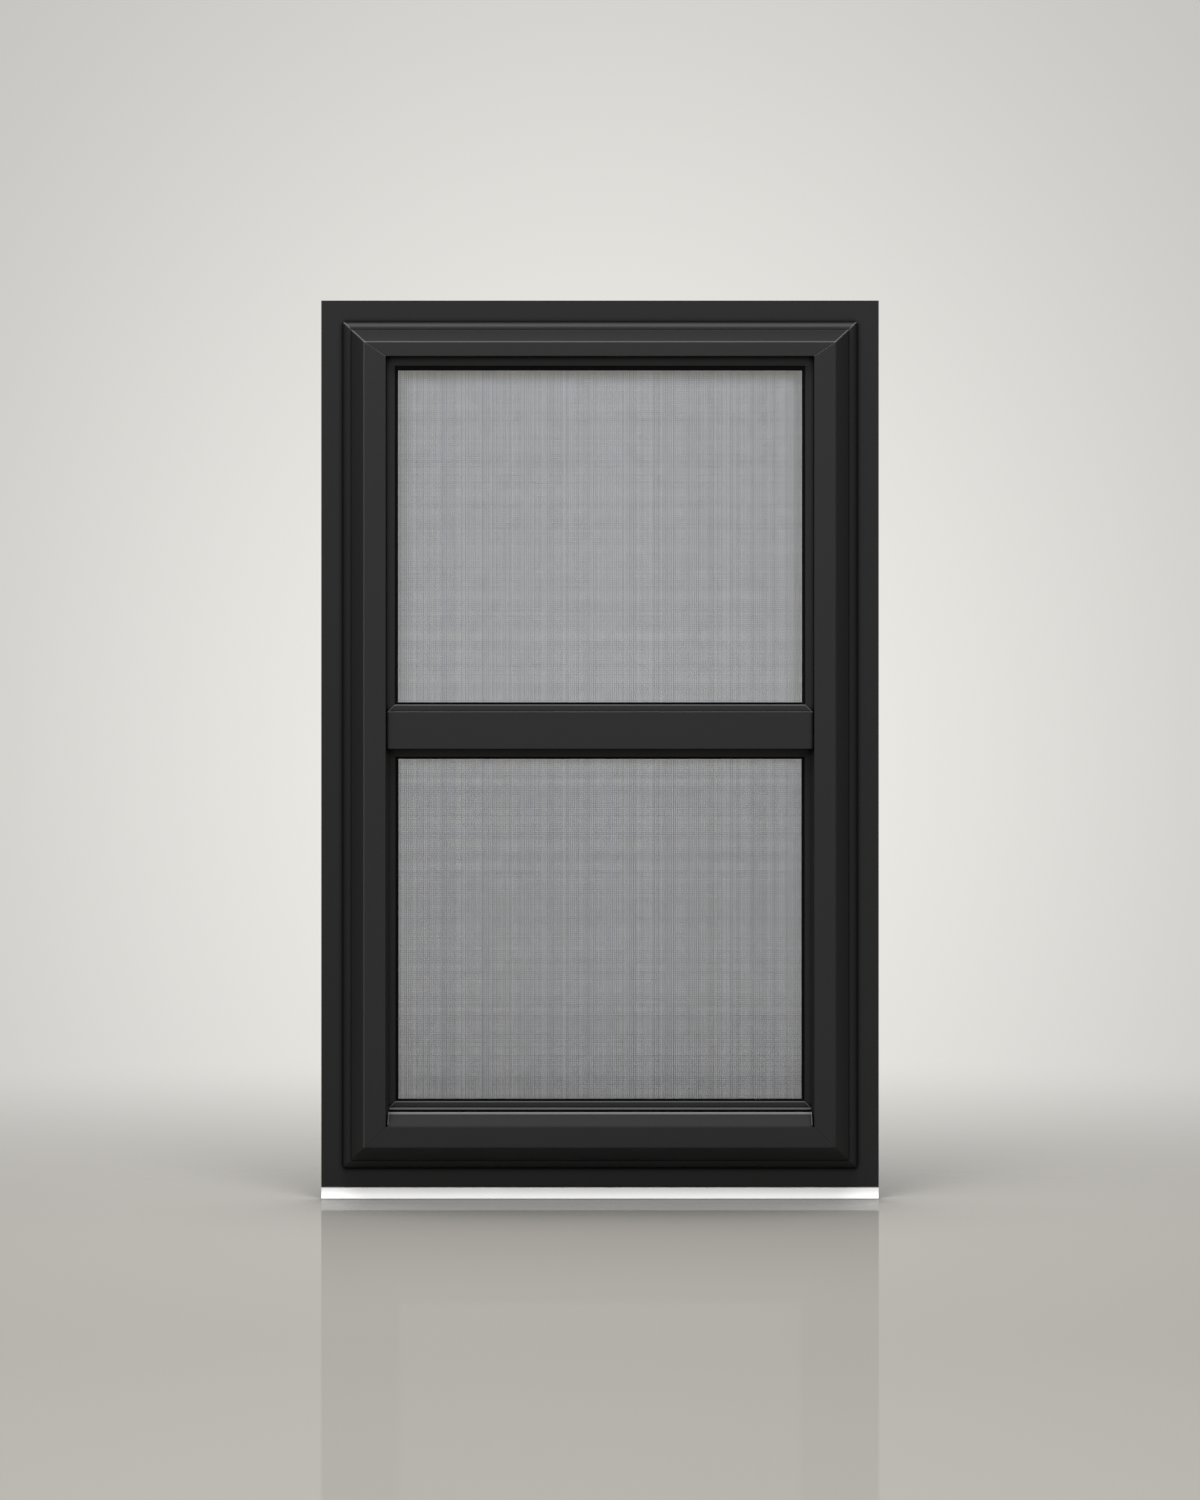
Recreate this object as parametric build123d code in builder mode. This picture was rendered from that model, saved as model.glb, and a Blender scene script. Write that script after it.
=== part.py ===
"""Storm window: a stepped aluminium frame that holds two glazed sashes and a full insect screen.

X runs across the window, Z runs up and the front faces -Y. The origin is at the middle of the sill flange, on
the plane where the flanges lie against the wall. A section is drawn in two measures: inward from the edge of
the side that it runs along, and forward from the wall plane.
"""

import os
from math import hypot

from build123d import *

# Frame, over the flanges
frame_width = 610.0
frame_height = 970.0

# Frame section, from the outer edge in to the opening
flange_width = 24.0
sill_flange_width = 21.4
flange_thickness = 4.5
flange_wall = 1.2
ovolo_quirk = 1.0
ovolo_radius = 10.0
splay_quirk = 2.5
splay_width = 15.2
splay_rise = 20.0
head_face_width = 15.4
jamb_face_width = 23.4
sill_face_width = 22.8
frame_wall = 1.6
face_edge_radius = 2.4
lip_radius = 0.5
flange_radius = 0.8

# Tracks inside the frame, from the wall forward
back_wall = 1.9
screen_track = 7.0
lower_track = 9.0
upper_track = 9.0
track_fin = 1.4
track_reach = 11.0
parting_reach = 2.0
track_clearance = 0.3
side_clearance = 1.0

# Sash members
sash_sight = 9.2
sash_wall = 1.2
bevel_width = 8.7
bevel_drop = 3.4
glazing_lip = 1.1
channel_depth = 7.0
glass_thickness = 2.4
glass_edge_gap = 0.2
gasket_wall = 0.4
gasket_web = 0.8
rail_gasket_sight = 2.4
stile_gasket_sight = 3.3
head_gasket_sight = 5.0
strip_gap = 0.1

# Meeting rail of the upper sash, and the rails of the lower sash
meeting_rise = 479.3
meeting_face_width = 40.5
meeting_bevel_sight = 7.8
meeting_proud = 4.0
meeting_edge_radius = 0.7
meeting_end_gap = 1.6
lower_top_sight = 8.5
lower_top_rail_width = 38.0
lower_bottom_rail_width = 36.7
lift_lip_thickness = 2.0
lift_lip_reach = 3.4
lift_lip_end_gap = 1.0

# Latches on the back of the lower sash
latch_length = 38.0
latch_height = 11.0
latch_thickness = 2.4
latch_drop = 4.0
latch_inset = 3.0
thumb_length = 9.0
thumb_height = 7.0
thumb_rise = 1.4

# Insect screen
screen_width = 19.0
screen_wall = 0.9
screen_rebate = 6.5
screen_ledge = 3.2
mesh_thickness = 0.8
mesh_edge_gap = 0.2
spline_width = 3.4
pull_tab_width = 16.0
pull_tab_height = 13.0
pull_tab_thickness = 1.2
pull_tab_clearance = 0.4
pull_tab_spacing = 220.0

# Sloped filler in front of the lower sash
ledge_rise = 14.4
ledge_recess = 2.0
ledge_top = 1.2
ledge_wall = 1.5
ledge_end_gap = 1.8

# Sill expander below the frame
expander_height = 12.2
expander_gap = 0.9
expander_recess = 0.4
expander_tongue = 15.0
expander_clearance = 0.1
expander_radius = 0.6

# Heights and half widths that follow from these
moulding_width = ovolo_radius + splay_width
jamb_inset = flange_width + moulding_width + jamb_face_width
head_inset = flange_width + moulding_width + head_face_width
sill_inset = sill_flange_width + moulding_width + sill_face_width
frame_half = frame_width / 2
frame_bottom = -sill_flange_width / 2
frame_top = frame_bottom + frame_height
opening_half = frame_half - jamb_inset
opening_bottom = frame_bottom + sill_inset
opening_top = frame_top - head_inset
meeting_bottom = frame_bottom + meeting_rise
seat_height = opening_bottom - track_reach

# Distances forward from the wall plane
ovolo_base = flange_thickness + ovolo_quirk
ovolo_top = ovolo_base + ovolo_radius
splay_base = ovolo_top + splay_quirk
frame_depth = splay_base + splay_rise
screen_track_front = back_wall + screen_track
lower_track_back = screen_track_front + track_fin
lower_track_front = lower_track_back + lower_track
upper_track_back = lower_track_front + track_fin
upper_track_front = upper_track_back + upper_track
screen_back = back_wall + track_clearance
screen_front = screen_track_front - track_clearance
screen_floor = screen_front - screen_ledge
lower_back = lower_track_back + track_clearance
lower_front = lower_track_front - track_clearance
upper_back = upper_track_back + track_clearance
upper_front = upper_track_front - track_clearance
glazing_channel = glass_thickness + 2 * gasket_wall

# Outer and inner edges of the sashes and of the screen
sash_half = opening_half + track_reach - side_clearance
sash_inner_half = opening_half - sash_sight
upper_edge_top = opening_top + track_reach - side_clearance
upper_inner_top = opening_top - sash_sight
meeting_rail_width = meeting_face_width + meeting_bevel_sight
upper_inner_bottom = meeting_bottom + meeting_rail_width
lower_inner_top = meeting_bottom - lower_top_sight
lower_edge_top = lower_inner_top + lower_top_rail_width
lower_inner_bottom = seat_height + lower_bottom_rail_width
screen_inner_half = sash_half - screen_width
screen_inner_top = upper_edge_top - screen_width
screen_inner_bottom = seat_height + screen_width

# A run is drawn longer than any side and then trimmed
run_length = frame_width + frame_height

INWARD = {"left": (1, 0, 0), "right": (-1, 0, 0), "top": (0, 0, -1), "bottom": (0, 0, 1)}
ALONG = {"left": (0, 0, -1), "right": (0, 0, 1), "top": (-1, 0, 0), "bottom": (1, 0, 0)}


def side_plane(side, edge):
    """The plane of a section on one side, measured inward from the edge and forward from the wall."""
    origin = (edge, 0, 0) if side in ("left", "right") else (0, 0, edge)
    return Plane(origin=origin, x_dir=INWARD[side], z_dir=ALONG[side])


def block(near, far, low, high, mode=Mode.ADD):
    """A rectangle in the sketch being drawn, between two measures inward and two forward."""
    with Locations((near, low)):
        Rectangle(far - near, high - low, align=Align.MIN, mode=mode)


def mirrored(outline):
    """The same outline on the other side of the window, run the other way round."""
    return [(-x, z) for x, z in reversed(outline)]


def box_outline(left, right, bottom, top):
    """The corners of a rectangle in the plane of the window."""
    return [(left, bottom), (right, bottom), (right, top), (left, top)]


def run(side, edge, section, outline):
    """A section run along one side of the window and trimmed to an outline in the window's plane."""
    with BuildPart() as piece:
        with BuildSketch(side_plane(side, edge)):
            add(section)
        extrude(amount=run_length, both=True)
        with BuildSketch(Plane.XZ):
            with BuildLine():
                Polyline(*outline, close=True)
            make_face()
        extrude(amount=frame_depth, mode=Mode.INTERSECT)
    return piece.part


def save(part, label):
    """Names a finished piece and writes it."""
    part.label = label
    export_step(part, f"parts/{label}.step")


def frame_section(flange, face_width, slot_start):
    """Flange, ovolo, splay and face, with three tracks behind the face and a cavity in the flange."""
    ovolo_end = flange + ovolo_radius
    splay_end = ovolo_end + splay_width
    opening = splay_end + face_width
    tip = opening + parting_reach
    splay_length = hypot(splay_width, splay_rise)
    ovolo_inside = ovolo_top - frame_wall
    splay_inside = splay_base - frame_wall * (splay_length - splay_rise) / splay_width
    face_inside = frame_depth - frame_wall
    face_start = splay_end + frame_wall * (splay_length - splay_width) / splay_rise
    with BuildSketch() as hollow:
        with BuildLine():
            Polyline((tip, back_wall), (flange + frame_wall, back_wall), (flange + frame_wall, ovolo_base))
            TangentArc((flange + frame_wall, ovolo_base), (ovolo_end, ovolo_inside), tangent=(0, 1))
            Polyline(
                (ovolo_end, ovolo_inside),
                (ovolo_end + frame_wall, ovolo_inside),
                (ovolo_end + frame_wall, splay_inside),
                (face_start, face_inside),
                (opening - frame_wall, face_inside),
                (opening - frame_wall, upper_track_front),
                (tip, upper_track_front),
                (tip, back_wall),
            )
        make_face()
        floor = opening - track_reach
        block(floor - frame_wall, floor, back_wall, frame_depth, mode=Mode.SUBTRACT)
        block(floor, opening, screen_track_front, lower_track_back, mode=Mode.SUBTRACT)
        block(floor, tip, lower_track_front, upper_track_back, mode=Mode.SUBTRACT)
    with BuildSketch() as section:
        with BuildLine():
            Polyline((0, 0), (0, flange_thickness), (flange, flange_thickness), (flange, ovolo_base))
            TangentArc((flange, ovolo_base), (ovolo_end, ovolo_top), tangent=(0, 1))
            Polyline(
                (ovolo_end, ovolo_top),
                (ovolo_end, splay_base),
                (splay_end, frame_depth),
                (opening, frame_depth),
                (opening, upper_track_front),
                (tip, upper_track_front),
                (tip, back_wall),
                (opening, back_wall),
                (opening, 0),
                (0, 0),
            )
        make_face()
        add(hollow.sketch, mode=Mode.SUBTRACT)
        slot_front = flange_thickness - flange_wall
        block(slot_start, flange - flange_wall, flange_wall, slot_front, mode=Mode.SUBTRACT)
        corners = section.vertices()
        fillet(corners.sort_by_distance((splay_end, frame_depth))[0], radius=face_edge_radius)
        fillet(corners.sort_by_distance((opening, frame_depth))[0], radius=lip_radius)
        fillet(corners.sort_by_distance((0, flange_thickness))[0], radius=flange_radius)
    return section.sketch


def sash_section(width, back, front):
    """A hollow sash member with a bevel and a glazing channel along its inner edge."""
    channel_back = back + glazing_lip
    channel = width - channel_depth
    with BuildSketch() as section:
        with BuildLine():
            Polyline(
                (0, back),
                (0, front),
                (width - bevel_width, front),
                (width, front - bevel_drop),
                (width, back),
                close=True,
            )
        make_face()
        block(channel, width, channel_back, channel_back + glazing_channel, mode=Mode.SUBTRACT)
        block(sash_wall, channel - sash_wall, back + sash_wall, front - sash_wall, mode=Mode.SUBTRACT)
    return section.sketch


def meeting_section():
    """The upper sash's bottom rail, with a flat box that stands out between the jambs."""
    face_front = upper_front + meeting_proud
    with BuildSketch() as section:
        add(sash_section(meeting_rail_width, upper_back, upper_front))
        block(0, meeting_face_width, upper_front, face_front)
        block(
            sash_wall,
            meeting_face_width - sash_wall,
            upper_front - sash_wall,
            face_front - sash_wall,
            mode=Mode.SUBTRACT,
        )
        corners = section.vertices()
        fillet(corners.sort_by_distance((0, face_front))[0], radius=meeting_edge_radius)
        fillet(corners.sort_by_distance((meeting_face_width, face_front))[0], radius=meeting_edge_radius)
    return section.sketch


def lift_section():
    """The lower sash's bottom rail, with a lift lip at the foot of its bevel."""
    lip_low = lower_bottom_rail_width - bevel_width
    with BuildSketch() as section:
        add(sash_section(lower_bottom_rail_width, lower_back, lower_front))
        block(lip_low, lip_low + lift_lip_thickness, lower_front - sash_wall, lower_front + lift_lip_reach)
    return section.sketch


def gasket_section(back, sight):
    """A glazing strip with lips that show over the glass, measured inward from the metal's inner edge."""
    channel_back = back + glazing_lip
    glass_back = channel_back + gasket_wall
    with BuildSketch() as section:
        block(-channel_depth, sight, channel_back, channel_back + glazing_channel)
        block(
            gasket_web - channel_depth,
            sight,
            glass_back,
            glass_back + glass_thickness,
            mode=Mode.SUBTRACT,
        )
    return section.sketch


def screen_section():
    """A screen frame bar, with a rebate for the cloth along its inner edge."""
    rebate = screen_width - screen_rebate
    with BuildSketch() as section:
        block(0, screen_width, screen_floor, screen_front)
        block(0, rebate, screen_back, screen_front)
        block(
            screen_wall,
            rebate - screen_wall,
            screen_back + screen_wall,
            screen_front - screen_wall,
            mode=Mode.SUBTRACT,
        )
    return section.sketch


def ledge_section():
    """A sloped plate on a leg, measured up from the sill lip."""
    ledge_front = frame_depth - ledge_recess
    slope_run = ledge_front - upper_back - ledge_top
    skin = ledge_wall * hypot(ledge_rise, slope_run) / ledge_rise
    leg_front = upper_back + ledge_wall
    inside_rise = (ledge_front - skin - leg_front) * ledge_rise / slope_run
    with BuildSketch() as section:
        with BuildLine():
            Polyline(
                (-track_reach, upper_back),
                (ledge_rise, upper_back),
                (ledge_rise, upper_back + ledge_top),
                (0, ledge_front),
                (0, ledge_front - skin),
                (inside_rise, leg_front),
                (-track_reach, leg_front),
                close=True,
            )
        make_face()
    return section.sketch


def bar_ends(inner_top, inner_bottom):
    """The heights where a sash's stiles stop against its rails, outside the mitred bevel."""
    return inner_top + bevel_width, inner_bottom - bevel_width


def stile_outline(inner_top, inner_bottom):
    """The left stile of a sash, with its bevel mitred to the rails."""
    high, low = bar_ends(inner_top, inner_bottom)
    bevel_foot = sash_inner_half + bevel_width
    return [
        (-sash_half, low),
        (-bevel_foot, low),
        (-sash_inner_half, inner_bottom),
        (-sash_inner_half, inner_top),
        (-bevel_foot, high),
        (-sash_half, high),
    ]


def rail_outline(edge, inner, joint):
    """A rail across a sash, from its outer edge to its inner edge, with its bevel mitred to the stiles."""
    bevel_foot = sash_inner_half + bevel_width
    half = [(-sash_half, edge), (-sash_half, joint), (-bevel_foot, joint), (-sash_inner_half, inner)]
    return half + mirrored(half)


def trimmed_ends(part, half, front):
    """A rail without what stands in front of a depth beyond a half width, where the jambs stand."""
    with BuildPart() as trimmed:
        add(part)
        for side in (-1, 1):
            with BuildSketch(Plane.XZ.offset(front)):
                with Locations((side * (half + frame_half / 2), meeting_bottom)):
                    Rectangle(frame_half, run_length)
            extrude(amount=frame_depth, mode=Mode.SUBTRACT)
    return trimmed.part


def glazing_strips(name, back, inner_top, inner_bottom, top_sight):
    """Four strips of glazing channel round one pane."""
    upright_section = gasket_section(back, stile_gasket_sight)
    outer_half = sash_inner_half + channel_depth
    sight_half = sash_inner_half - stile_gasket_sight
    low = inner_bottom - channel_depth
    high = inner_top + channel_depth
    across = sight_half - strip_gap
    upright = box_outline(-outer_half, -sight_half, low, high)
    top_strip = box_outline(-across, across, inner_top - top_sight, high)
    bottom_strip = box_outline(-across, across, low, inner_bottom + rail_gasket_sight)
    with BuildPart() as strips:
        add(run("left", -sash_inner_half, upright_section, upright))
        add(run("right", sash_inner_half, upright_section, mirrored(upright)))
        add(run("top", inner_top, gasket_section(back, top_sight), top_strip))
        add(run("bottom", inner_bottom, gasket_section(back, rail_gasket_sight), bottom_strip))
    save(strips.part, name)


def pane(name, back, inner_top, inner_bottom):
    """A sheet of glass held in its channel on all four sides."""
    hold = channel_depth - gasket_web - glass_edge_gap
    with BuildPart() as glass:
        with BuildSketch(Plane.XZ.offset(back + glazing_lip + gasket_wall)):
            with Locations((0, (inner_top + inner_bottom) / 2)):
                Rectangle(2 * (sash_inner_half + hold), inner_top - inner_bottom + 2 * hold)
        extrude(amount=glass_thickness)
    save(glass.part, name)


def sash(name, back, front, inner_top, inner_bottom, top_sight):
    """The stiles, pane and glazing strips that both sashes have alike."""
    section = sash_section(sash_half - sash_inner_half, back, front)
    outline = stile_outline(inner_top, inner_bottom)
    save(run("left", -sash_half, section, outline), f"{name}_left_stile")
    save(run("right", sash_half, section, mirrored(outline)), f"{name}_right_stile")
    pane(f"{name}_glass", back, inner_top, inner_bottom)
    glazing_strips(f"{name}_gasket", back, inner_top, inner_bottom, top_sight)


os.makedirs("parts", exist_ok=True)

# Outer frame: four members that meet at mitres, which bend where the sections change width
jamb_steps = [0, flange_width, flange_width + moulding_width, jamb_inset, jamb_inset + parting_reach]
head_steps = [0, flange_width, flange_width + moulding_width, head_inset, head_inset + parting_reach]
sill_arris = sill_flange_width + moulding_width
sill_steps = [0, sill_flange_width, sill_arris, sill_inset, sill_inset + parting_reach]
head_mitre = [(across - frame_half, frame_top - down) for across, down in zip(jamb_steps, head_steps)]
sill_mitre = [(across - frame_half, frame_bottom + up) for across, up in zip(jamb_steps, sill_steps)]
jamb_outline = head_mitre + sill_mitre[::-1]
jamb_section = frame_section(flange_width, jamb_face_width, flange_wall)
head_section = frame_section(flange_width, head_face_width, flange_wall)
sill_section = frame_section(sill_flange_width, sill_face_width, 0)
save(run("left", -frame_half, jamb_section, jamb_outline), "left_jamb")
save(run("right", frame_half, jamb_section, mirrored(jamb_outline)), "right_jamb")
save(run("top", frame_top, head_section, head_mitre + mirrored(head_mitre)), "head_frame")
save(run("bottom", frame_bottom, sill_section, sill_mitre + mirrored(sill_mitre)), "sill_frame")

# Sloped filler, clipped into the outer track over the sill
ledge_half = opening_half - ledge_end_gap
ledge_outline = box_outline(-ledge_half, ledge_half, seat_height, opening_bottom + ledge_rise)
save(run("bottom", opening_bottom, ledge_section(), ledge_outline), "sill_ledge")

# Sill expander: a strip below the frame on a tongue that slides up inside the sill flange
expander_front = flange_thickness - expander_recess
tongue_back = flange_wall + expander_clearance
tongue_front = flange_thickness - flange_wall - expander_clearance
with BuildPart() as sill_expander:
    with BuildSketch(Plane.XZ.offset(expander_recess)):
        with Locations((0, frame_bottom - expander_gap - expander_height / 2)):
            Rectangle(frame_width, expander_height)
    extrude(amount=expander_front - expander_recess)
    front_edges = sill_expander.faces().sort_by(Axis.Y)[0].edges().filter_by(Axis.X)
    fillet(front_edges, radius=expander_radius)
    with BuildSketch(Plane.XZ.offset(tongue_back)):
        with Locations((0, frame_bottom - expander_gap)):
            Rectangle(
                2 * (frame_half - flange_width),
                expander_gap + expander_tongue,
                align=(Align.CENTER, Align.MIN),
            )
    extrude(amount=tongue_front - tongue_back)
save(sill_expander.part, "sill_expander")

# Upper sash, in the outer track
sash("upper", upper_back, upper_front, upper_inner_top, upper_inner_bottom, head_gasket_sight)
upper_high, upper_low = bar_ends(upper_inner_top, upper_inner_bottom)
top_section = sash_section(upper_edge_top - upper_inner_top, upper_back, upper_front)
top_outline = rail_outline(upper_edge_top, upper_inner_top, upper_high)
save(run("top", upper_edge_top, top_section, top_outline), "upper_top_rail")
meeting_outline = rail_outline(meeting_bottom, upper_inner_bottom, upper_low)
meeting_rail = run("bottom", meeting_bottom, meeting_section(), meeting_outline)
save(trimmed_ends(meeting_rail, opening_half - meeting_end_gap, upper_front), "meeting_rail")

# Lower sash, in the middle track, seated on the sill
sash("lower", lower_back, lower_front, lower_inner_top, lower_inner_bottom, rail_gasket_sight)
lower_high, lower_low = bar_ends(lower_inner_top, lower_inner_bottom)
lower_top_section = sash_section(lower_top_rail_width, lower_back, lower_front)
lower_top_outline = rail_outline(lower_edge_top, lower_inner_top, lower_high)
save(run("top", lower_edge_top, lower_top_section, lower_top_outline), "lower_top_rail")
lift_outline = rail_outline(seat_height, lower_inner_bottom, lower_low)
lift_rail = run("bottom", seat_height, lift_section(), lift_outline)
lift_half = opening_half - parting_reach - lift_lip_end_gap
save(trimmed_ends(lift_rail, lift_half, lower_front), "lower_bottom_rail")

# Latches: a plate with a thumb piece near each end of the lower sash's bottom rail
latch_centre = sash_inner_half - latch_inset - latch_length / 2
latch_middle = lower_inner_bottom - latch_drop - latch_height / 2
for side, label in ((-1, "lower_left_latch"), (1, "lower_right_latch")):
    with BuildPart() as latch:
        with BuildSketch(Plane.XZ.offset(lower_back)):
            with Locations((side * latch_centre, latch_middle)):
                RectangleRounded(latch_length, latch_height, latch_height / 3)
        extrude(amount=-latch_thickness)
        with BuildSketch(Plane.XZ.offset(lower_back - latch_thickness)):
            with Locations((side * latch_centre, latch_middle)):
                RectangleRounded(thumb_length, thumb_height, thumb_height / 4)
        extrude(amount=-thumb_rise)
    save(latch.part, label)

# Insect screen, in the inner track: four mitred bars, a crossbar, the cloth, its spline and two pull tabs
screen_bar = screen_section()
screen_left = [
    (-sash_half, seat_height),
    (-screen_inner_half, screen_inner_bottom),
    (-screen_inner_half, screen_inner_top),
    (-sash_half, upper_edge_top),
]
screen_top = [screen_left[3], screen_left[2]] + mirrored([screen_left[3], screen_left[2]])
screen_bottom = screen_left[:2] + mirrored(screen_left[:2])
save(run("left", -sash_half, screen_bar, screen_left), "screen_left_stile")
save(run("right", sash_half, screen_bar, mirrored(screen_left)), "screen_right_stile")
save(run("top", upper_edge_top, screen_bar, screen_top), "screen_top_rail")
save(run("bottom", seat_height, screen_bar, screen_bottom), "screen_bottom_rail")

with BuildPart() as screen_crossbar:
    with BuildSketch(Plane.XZ.offset(screen_floor)):
        with Locations((0, meeting_bottom + meeting_face_width / 2)):
            Rectangle(2 * screen_inner_half, screen_width)
    extrude(amount=screen_ledge)
save(screen_crossbar.part, "screen_crossbar")

mesh_hold = screen_rebate - mesh_edge_gap
mesh_back = screen_floor - mesh_thickness
with BuildPart() as screen_mesh:
    with BuildSketch(Plane.XZ.offset(mesh_back)):
        with Locations((0, (screen_inner_top + screen_inner_bottom) / 2)):
            Rectangle(
                2 * (screen_inner_half + mesh_hold),
                screen_inner_top - screen_inner_bottom + 2 * mesh_hold,
            )
    extrude(amount=mesh_thickness)
save(screen_mesh.part, "screen_mesh")

with BuildSketch() as spline_section:
    block(-mesh_hold, spline_width - mesh_hold, screen_back, mesh_back)
spline_outer = screen_inner_half + mesh_hold
spline_inner = spline_outer - spline_width
spline_low = screen_inner_bottom - mesh_hold
spline_high = screen_inner_top + mesh_hold
spline_upright = box_outline(-spline_outer, -spline_inner, spline_low, spline_high)
spline_across = spline_inner - strip_gap
top_strip = box_outline(-spline_across, spline_across, spline_high - spline_width, spline_high)
bottom_strip = box_outline(-spline_across, spline_across, spline_low, spline_low + spline_width)
with BuildPart() as screen_spline:
    add(run("left", -screen_inner_half, spline_section.sketch, spline_upright))
    add(run("right", screen_inner_half, spline_section.sketch, mirrored(spline_upright)))
    add(run("top", screen_inner_top, spline_section.sketch, top_strip))
    add(run("bottom", screen_inner_bottom, spline_section.sketch, bottom_strip))
save(screen_spline.part, "screen_spline")

tab_low = opening_bottom + pull_tab_clearance
with BuildPart() as screen_pull_tabs:
    with BuildSketch(Plane.XZ.offset(screen_back - pull_tab_thickness)):
        with Locations((-pull_tab_spacing / 2, tab_low), (pull_tab_spacing / 2, tab_low)):
            Rectangle(pull_tab_width, pull_tab_height, align=(Align.CENTER, Align.MIN))
    extrude(amount=pull_tab_thickness)
save(screen_pull_tabs.part, "screen_pull_tabs")
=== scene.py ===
from math import pi, radians

import bpy
from bpy.props import FloatProperty, FloatVectorProperty, IntProperty, PointerProperty
from bpy.types import Operator, Panel, PropertyGroup
from mathutils import Matrix, Vector


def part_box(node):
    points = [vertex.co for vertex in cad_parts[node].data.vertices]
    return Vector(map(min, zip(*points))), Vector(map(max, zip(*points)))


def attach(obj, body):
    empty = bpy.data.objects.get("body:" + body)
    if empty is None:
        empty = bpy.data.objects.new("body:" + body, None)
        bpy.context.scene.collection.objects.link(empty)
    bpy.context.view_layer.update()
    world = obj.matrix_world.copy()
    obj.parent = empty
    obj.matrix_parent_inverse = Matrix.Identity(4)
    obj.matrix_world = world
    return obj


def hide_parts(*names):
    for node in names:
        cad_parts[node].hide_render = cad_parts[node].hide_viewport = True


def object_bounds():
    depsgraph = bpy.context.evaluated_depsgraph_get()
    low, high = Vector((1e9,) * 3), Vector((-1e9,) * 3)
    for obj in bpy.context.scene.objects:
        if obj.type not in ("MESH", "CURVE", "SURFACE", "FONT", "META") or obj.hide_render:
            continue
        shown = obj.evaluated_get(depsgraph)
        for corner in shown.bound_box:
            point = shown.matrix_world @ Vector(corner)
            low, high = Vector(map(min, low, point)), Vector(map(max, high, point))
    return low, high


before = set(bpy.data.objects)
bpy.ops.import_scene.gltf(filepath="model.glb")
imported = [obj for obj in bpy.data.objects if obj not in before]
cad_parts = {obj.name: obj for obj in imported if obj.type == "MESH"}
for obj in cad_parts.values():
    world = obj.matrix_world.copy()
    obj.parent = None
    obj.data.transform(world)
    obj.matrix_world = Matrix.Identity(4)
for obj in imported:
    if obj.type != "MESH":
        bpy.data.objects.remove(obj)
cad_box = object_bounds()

bl_info = {
    "name": "Storm Window Finishing",
    "version": (1, 0, 0),
    "blender": (4, 5, 0),
    "location": "3D View > Sidebar > Storm Window",
    "description": "Coats, glazes and screens a storm window and sets its studio",
    "category": "Object",
}

FRAME_MEMBERS = ("head_frame", "sill_frame", "left_jamb", "right_jamb")
SASH_MEMBERS = (
    "upper_top_rail",
    "meeting_rail",
    "upper_left_stile",
    "upper_right_stile",
    "lower_top_rail",
    "lower_left_stile",
    "lower_right_stile",
)
SCREEN_BARS = (
    "screen_top_rail",
    "screen_bottom_rail",
    "screen_left_stile",
    "screen_right_stile",
    "screen_crossbar",
)
PANES = ("upper_glass", "lower_glass")
RUBBER_STRIPS = ("upper_gasket", "lower_gasket", "screen_spline")
FITTINGS = ("lower_left_latch", "lower_right_latch", "screen_pull_tabs")


class Wire:
    """An output of a node. Arithmetic on it adds Math nodes to the tree."""

    def __init__(self, maker, node, output):
        self.maker = maker
        self.node = node
        self.socket = node.outputs[output]

    def __getitem__(self, output):
        return Wire(self.maker, self.node, output)

    def math(self, operation, first, second):
        return self.maker.add("ShaderNodeMath", {"operation": operation}, {0: first, 1: second})

    def __add__(self, other):
        return self.math("ADD", self, other)

    def __radd__(self, other):
        return self.math("ADD", other, self)

    def __sub__(self, other):
        return self.math("SUBTRACT", self, other)

    def __rsub__(self, other):
        return self.math("SUBTRACT", other, self)

    def __mul__(self, other):
        return self.math("MULTIPLY", self, other)

    def __rmul__(self, other):
        return self.math("MULTIPLY", other, self)

    def __truediv__(self, other):
        return self.math("DIVIDE", self, other)

    def __rtruediv__(self, other):
        return self.math("DIVIDE", other, self)


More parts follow.
